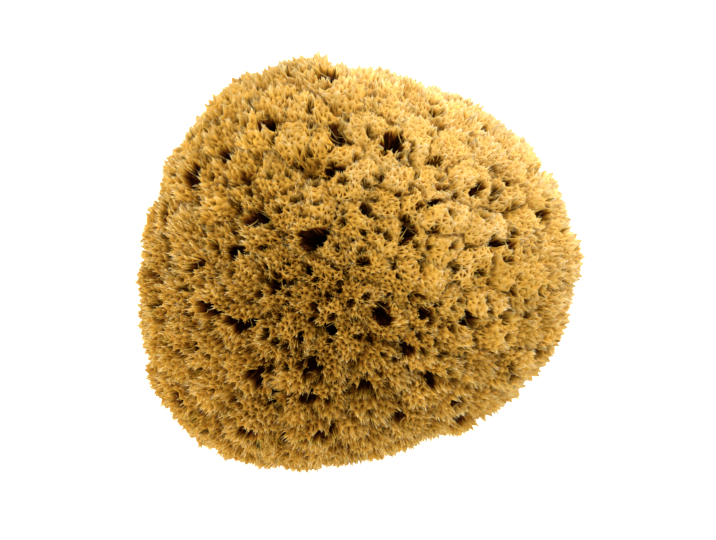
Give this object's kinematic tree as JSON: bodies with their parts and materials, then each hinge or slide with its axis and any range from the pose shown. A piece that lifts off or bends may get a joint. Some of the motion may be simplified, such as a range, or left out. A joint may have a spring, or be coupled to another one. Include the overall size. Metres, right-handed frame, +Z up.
{
  "type": "sea sponge",
  "caption": "Natural honeycomb wool sponge for the bath: a round cushion of springy tufted fibre with open pores, cut flat below so that it rests.",
  "frame": {"origin": "middle of the plane of the flat cut, under the centre of the whole form", "axes": "+Z up, away from the cut that it rests on; seen from above +X is to the right and +Y up the page"},
  "size_m": [0.1498, 0.1406, 0.0933],
  "materials": {
    "fibre": "dry matt sponge fibre, honey gold with pale tips and dark brown pores"
  },
  "bodies": {
    "root": {"sponge": "fibre"}
  },
  "joints": []
}
